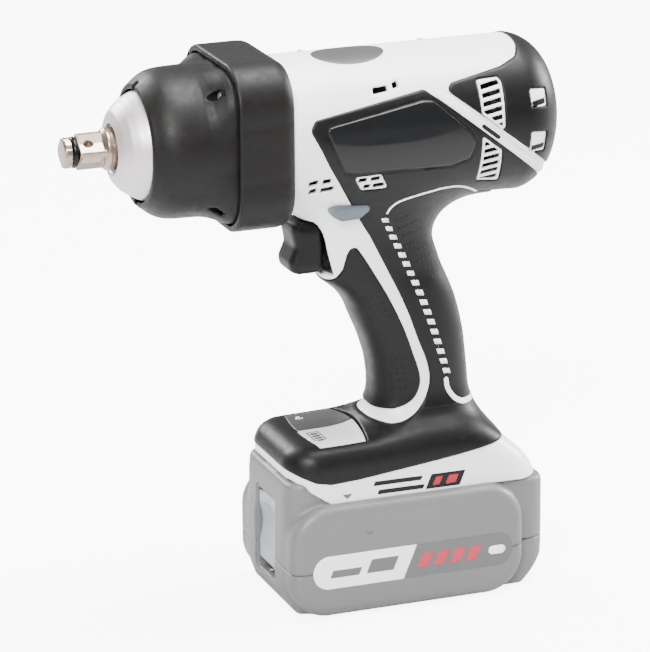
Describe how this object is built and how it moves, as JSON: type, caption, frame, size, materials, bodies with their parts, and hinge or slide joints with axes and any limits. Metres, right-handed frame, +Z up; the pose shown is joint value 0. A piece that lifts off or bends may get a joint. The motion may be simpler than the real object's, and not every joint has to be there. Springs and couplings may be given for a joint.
{
  "type": "impact wrench",
  "caption": "Cordless pistol-grip impact wrench with a half-inch square drive, rubber nose boot, overmoulded grip and slide-on battery.",
  "frame": {"origin": "on the surface the battery stands on, below the middle of the tool's length and width", "axes": "+X from the drive square back to the motor, +Y to the tool's right side, +Z up; the drive axis lies along X at z = 0.2306 m"},
  "size_m": [0.236, 0.0796, 0.2704],
  "materials": {
    "white_shell": "fine moulded texture, satin white",
    "black_grip": "soft moulded elastomer, matt black",
    "boot_rubber": "matt dark rubber",
    "black_panel": "satin black plastic",
    "cast_alloy": "bead-blasted cast alloy",
    "anvil_nickel": "plated, worn steel",
    "steel": "machined steel",
    "gear_steel": "hardened steel",
    "brass": "plain brass",
    "bronze": "sintered bronze",
    "copper": "copper segments",
    "carbon": "dark magnet and carbon",
    "circuit_board": "circuit board",
    "seal_rubber": "black seal rubber",
    "lever_grey": "blue-grey plastic",
    "panel_grey": "dark grey plastic",
    "pale_key": "pale grey membrane key",
    "pack_grey": "mid-grey moulded plastic",
    "latch_grey": "pale blue-grey plastic",
    "cell_sleeve": "cell sleeves",
    "inner_plastic": "filled nylon"
  },
  "bodies": {
    "root": {"housing_left": "white_shell", "housing_right": "white_shell", "side_panel_left": "black_grip", "side_panel_right": "black_grip", "name_plate_left": "black_panel", "name_plate_right": "black_panel", "front_grip_pad": "black_grip", "rear_grip_pad": "black_grip", "foot_cover": "black_grip", "control_panel": "panel_grey", "top_insert": "panel_grey", "rear_cap": "black_grip", "hammer_case": "cast_alloy", "case_boot": "boot_rubber", "bumper_collar": "boot_rubber", "case_screw_1": "steel", "case_screw_2": "steel", "case_screw_3": "steel", "case_screw_4": "steel", "gear_plate": "cast_alloy", "anvil_bush": "bronze", "oil_seal": "seal_rubber", "ring_gear": "gear_steel", "motor_can": "steel", "field_magnet": "carbon", "brush_holder": "inner_plastic", "brush_left": "carbon", "brush_right": "carbon", "front_bearing": "steel", "rear_bearing": "steel", "switch_body": "inner_plastic", "controller_board": "circuit_board", "terminal_block": "inner_plastic", "trigger_spring": "steel"},
    "anvil": {"anvil": "anvil_nickel", "friction_ring": "seal_rubber"},
    "spindle": {"spindle": "steel", "cam_ball_1": "steel", "cam_ball_2": "steel", "main_spring": "steel"},
    "hammer": {"hammer": "gear_steel"},
    "planet_1": {"planet_gear_1": "gear_steel"},
    "planet_2": {"planet_gear_2": "gear_steel"},
    "planet_3": {"planet_gear_3": "gear_steel"},
    "rotor": {"rotor_shaft": "steel", "armature": "gear_steel", "commutator": "copper", "cooling_fan": "inner_plastic"},
    "trigger": {"trigger": "black_panel"},
    "direction_lever": {"direction_lever": "lever_grey"},
    "gauge_button": {"gauge_button": "pale_key"},
    "light_button": {"light_button": "panel_grey"},
    "battery": {"battery_case_upper": "pack_grey", "battery_case_lower": "pack_grey", "cell_pack": "cell_sleeve", "battery_contacts": "brass", "release_spring": "steel"},
    "release_button": {"release_button": "latch_grey"}
  },
  "joints": [
    {"name": "spindle_spin", "type": "hinge", "parent": "root", "child": "spindle", "pos_m": [0, 0, 0.2306], "axis": [1, 0, 0], "continuous": true},
    {"name": "anvil_spin", "type": "hinge", "parent": "root", "child": "anvil", "pos_m": [0, 0, 0.2306], "axis": [1, 0, 0], "continuous": true},
    {"name": "rotor_spin", "type": "hinge", "parent": "root", "child": "rotor", "pos_m": [0, 0, 0.2306], "axis": [1, 0, 0], "continuous": true},
    {"name": "hammer_slide", "type": "slide", "parent": "spindle", "child": "hammer", "axis": [1, 0, 0], "range_m": [0, 0.008], "stiffness_N_per_m": 9000, "springref_m": -0.004, "deforming": ["main_spring"]},
    {"name": "planet_spin_1", "type": "hinge", "parent": "spindle", "child": "planet_1", "pos_m": [0, 0, 0.2441], "axis": [1, 0, 0], "continuous": true},
    {"name": "planet_spin_2", "type": "hinge", "parent": "spindle", "child": "planet_2", "pos_m": [0, -0.01169, 0.22385], "axis": [1, 0, 0], "continuous": true},
    {"name": "planet_spin_3", "type": "hinge", "parent": "spindle", "child": "planet_3", "pos_m": [0, 0.01169, 0.22385], "axis": [1, 0, 0], "continuous": true},
    {"name": "trigger_pull", "type": "slide", "parent": "root", "child": "trigger", "axis": [1, 0, 0], "range_m": [0, 0.007], "stiffness_N_per_m": 500, "springref_m": -0.01, "deforming": ["trigger_spring"]},
    {"name": "direction_shift", "type": "slide", "parent": "root", "child": "direction_lever", "axis": [0, 1, 0], "range_m": [-0.0025, 0.0025]},
    {"name": "gauge_press", "type": "slide", "parent": "root", "child": "gauge_button", "axis": [0, 0, -1], "range_m": [0, 0.0004], "stiffness_N_per_m": 120, "springref_m": -0.003},
    {"name": "light_press", "type": "slide", "parent": "root", "child": "light_button", "axis": [0, 0, -1], "range_m": [0, 0.0004], "stiffness_N_per_m": 120, "springref_m": -0.003},
    {"name": "battery_slide", "type": "slide", "parent": "root", "child": "battery", "axis": [-1, 0, 0], "range_m": [0, 0.11]},
    {"name": "release_press", "type": "slide", "parent": "battery", "child": "release_button", "axis": [0, 0, -1], "range_m": [0, 0.005], "stiffness_N_per_m": 300, "springref_m": -0.01, "deforming": ["release_spring"]}
  ],
  "couplings": [
    {"joint": "anvil_spin", "follows": "spindle_spin", "ratio": 1},
    {"joint": "rotor_spin", "follows": "spindle_spin", "ratio": 5},
    {"joint": "planet_spin_1", "follows": "spindle_spin", "ratio": -2.6667},
    {"joint": "planet_spin_2", "follows": "spindle_spin", "ratio": -2.6667},
    {"joint": "planet_spin_3", "follows": "spindle_spin", "ratio": -2.6667}
  ]
}
